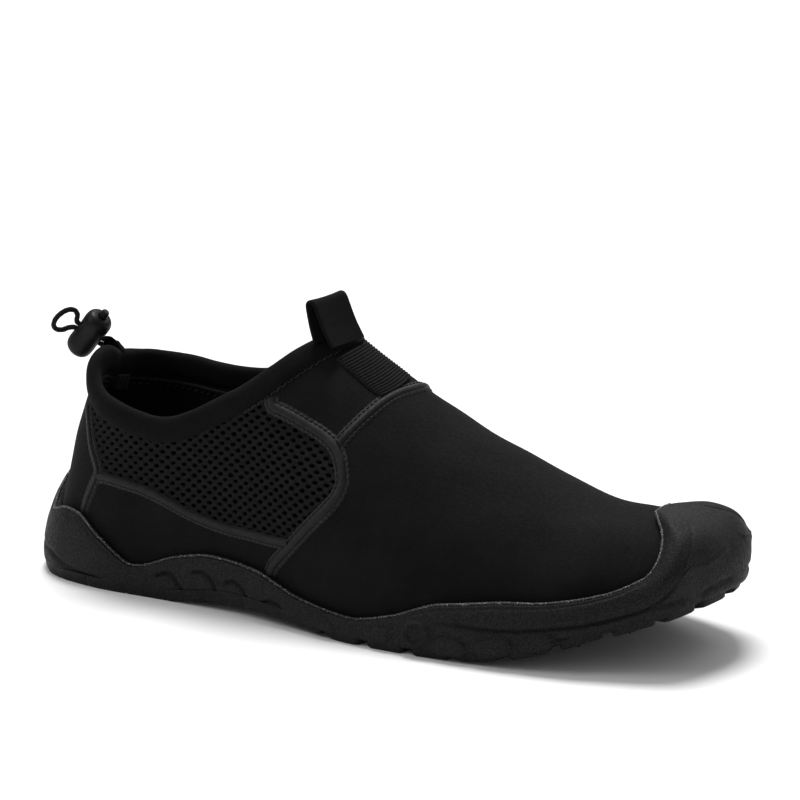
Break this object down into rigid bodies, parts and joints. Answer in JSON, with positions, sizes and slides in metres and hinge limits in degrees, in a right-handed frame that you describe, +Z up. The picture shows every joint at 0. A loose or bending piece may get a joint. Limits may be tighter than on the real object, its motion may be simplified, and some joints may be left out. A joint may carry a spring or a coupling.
{
  "type": "water shoe",
  "caption": "Slip-on water shoe with a stretch fabric upper, padded collar, pull loop, mesh sides and a lugged rubber cup sole with a toe bumper.",
  "frame": {"origin": "centre of the heel seat, on the flat underside of the heel's middle lug, on the floor", "axes": "+X along the shoe towards the toe, +Y towards the inner (medial) side, +Z up"},
  "size_m": [0.2861, 0.1006, 0.1155],
  "materials": {
    "rubber": "matt, finely speckled moulded rubber",
    "neoprene": "matt stretch knit over foam",
    "insole_foam": "matt foam with a cloth face",
    "collar_knit": "smooth knit over padding",
    "webbing": "woven webbing",
    "seam_tape": "stitched tape",
    "lock_plastic": "satin moulded plastic",
    "cord": "braided cord"
  },
  "bodies": {
    "shoe": {"outsole": "rubber", "upper": "neoprene", "insole": "insole_foam", "collar": "collar_knit", "throat_webbing": "webbing", "pull_loop": "webbing", "throat_tape": "seam_tape", "front_tape_lateral": "seam_tape", "front_tape_medial": "seam_tape", "lower_tape_lateral": "seam_tape", "lower_tape_medial": "seam_tape", "heel_tape_lateral": "seam_tape", "heel_tape_medial": "seam_tape", "cord_lock": "lock_plastic", "drawcord": "cord"},
    "lock_button": {"cord_lock_button": "lock_plastic"}
  },
  "joints": [
    {"name": "lock_button_press", "type": "slide", "parent": "shoe", "child": "lock_button", "axis": [0.6606, 0, 0.7507], "range_m": [-0.003, 0], "stiffness_N_per_m": 300}
  ]
}
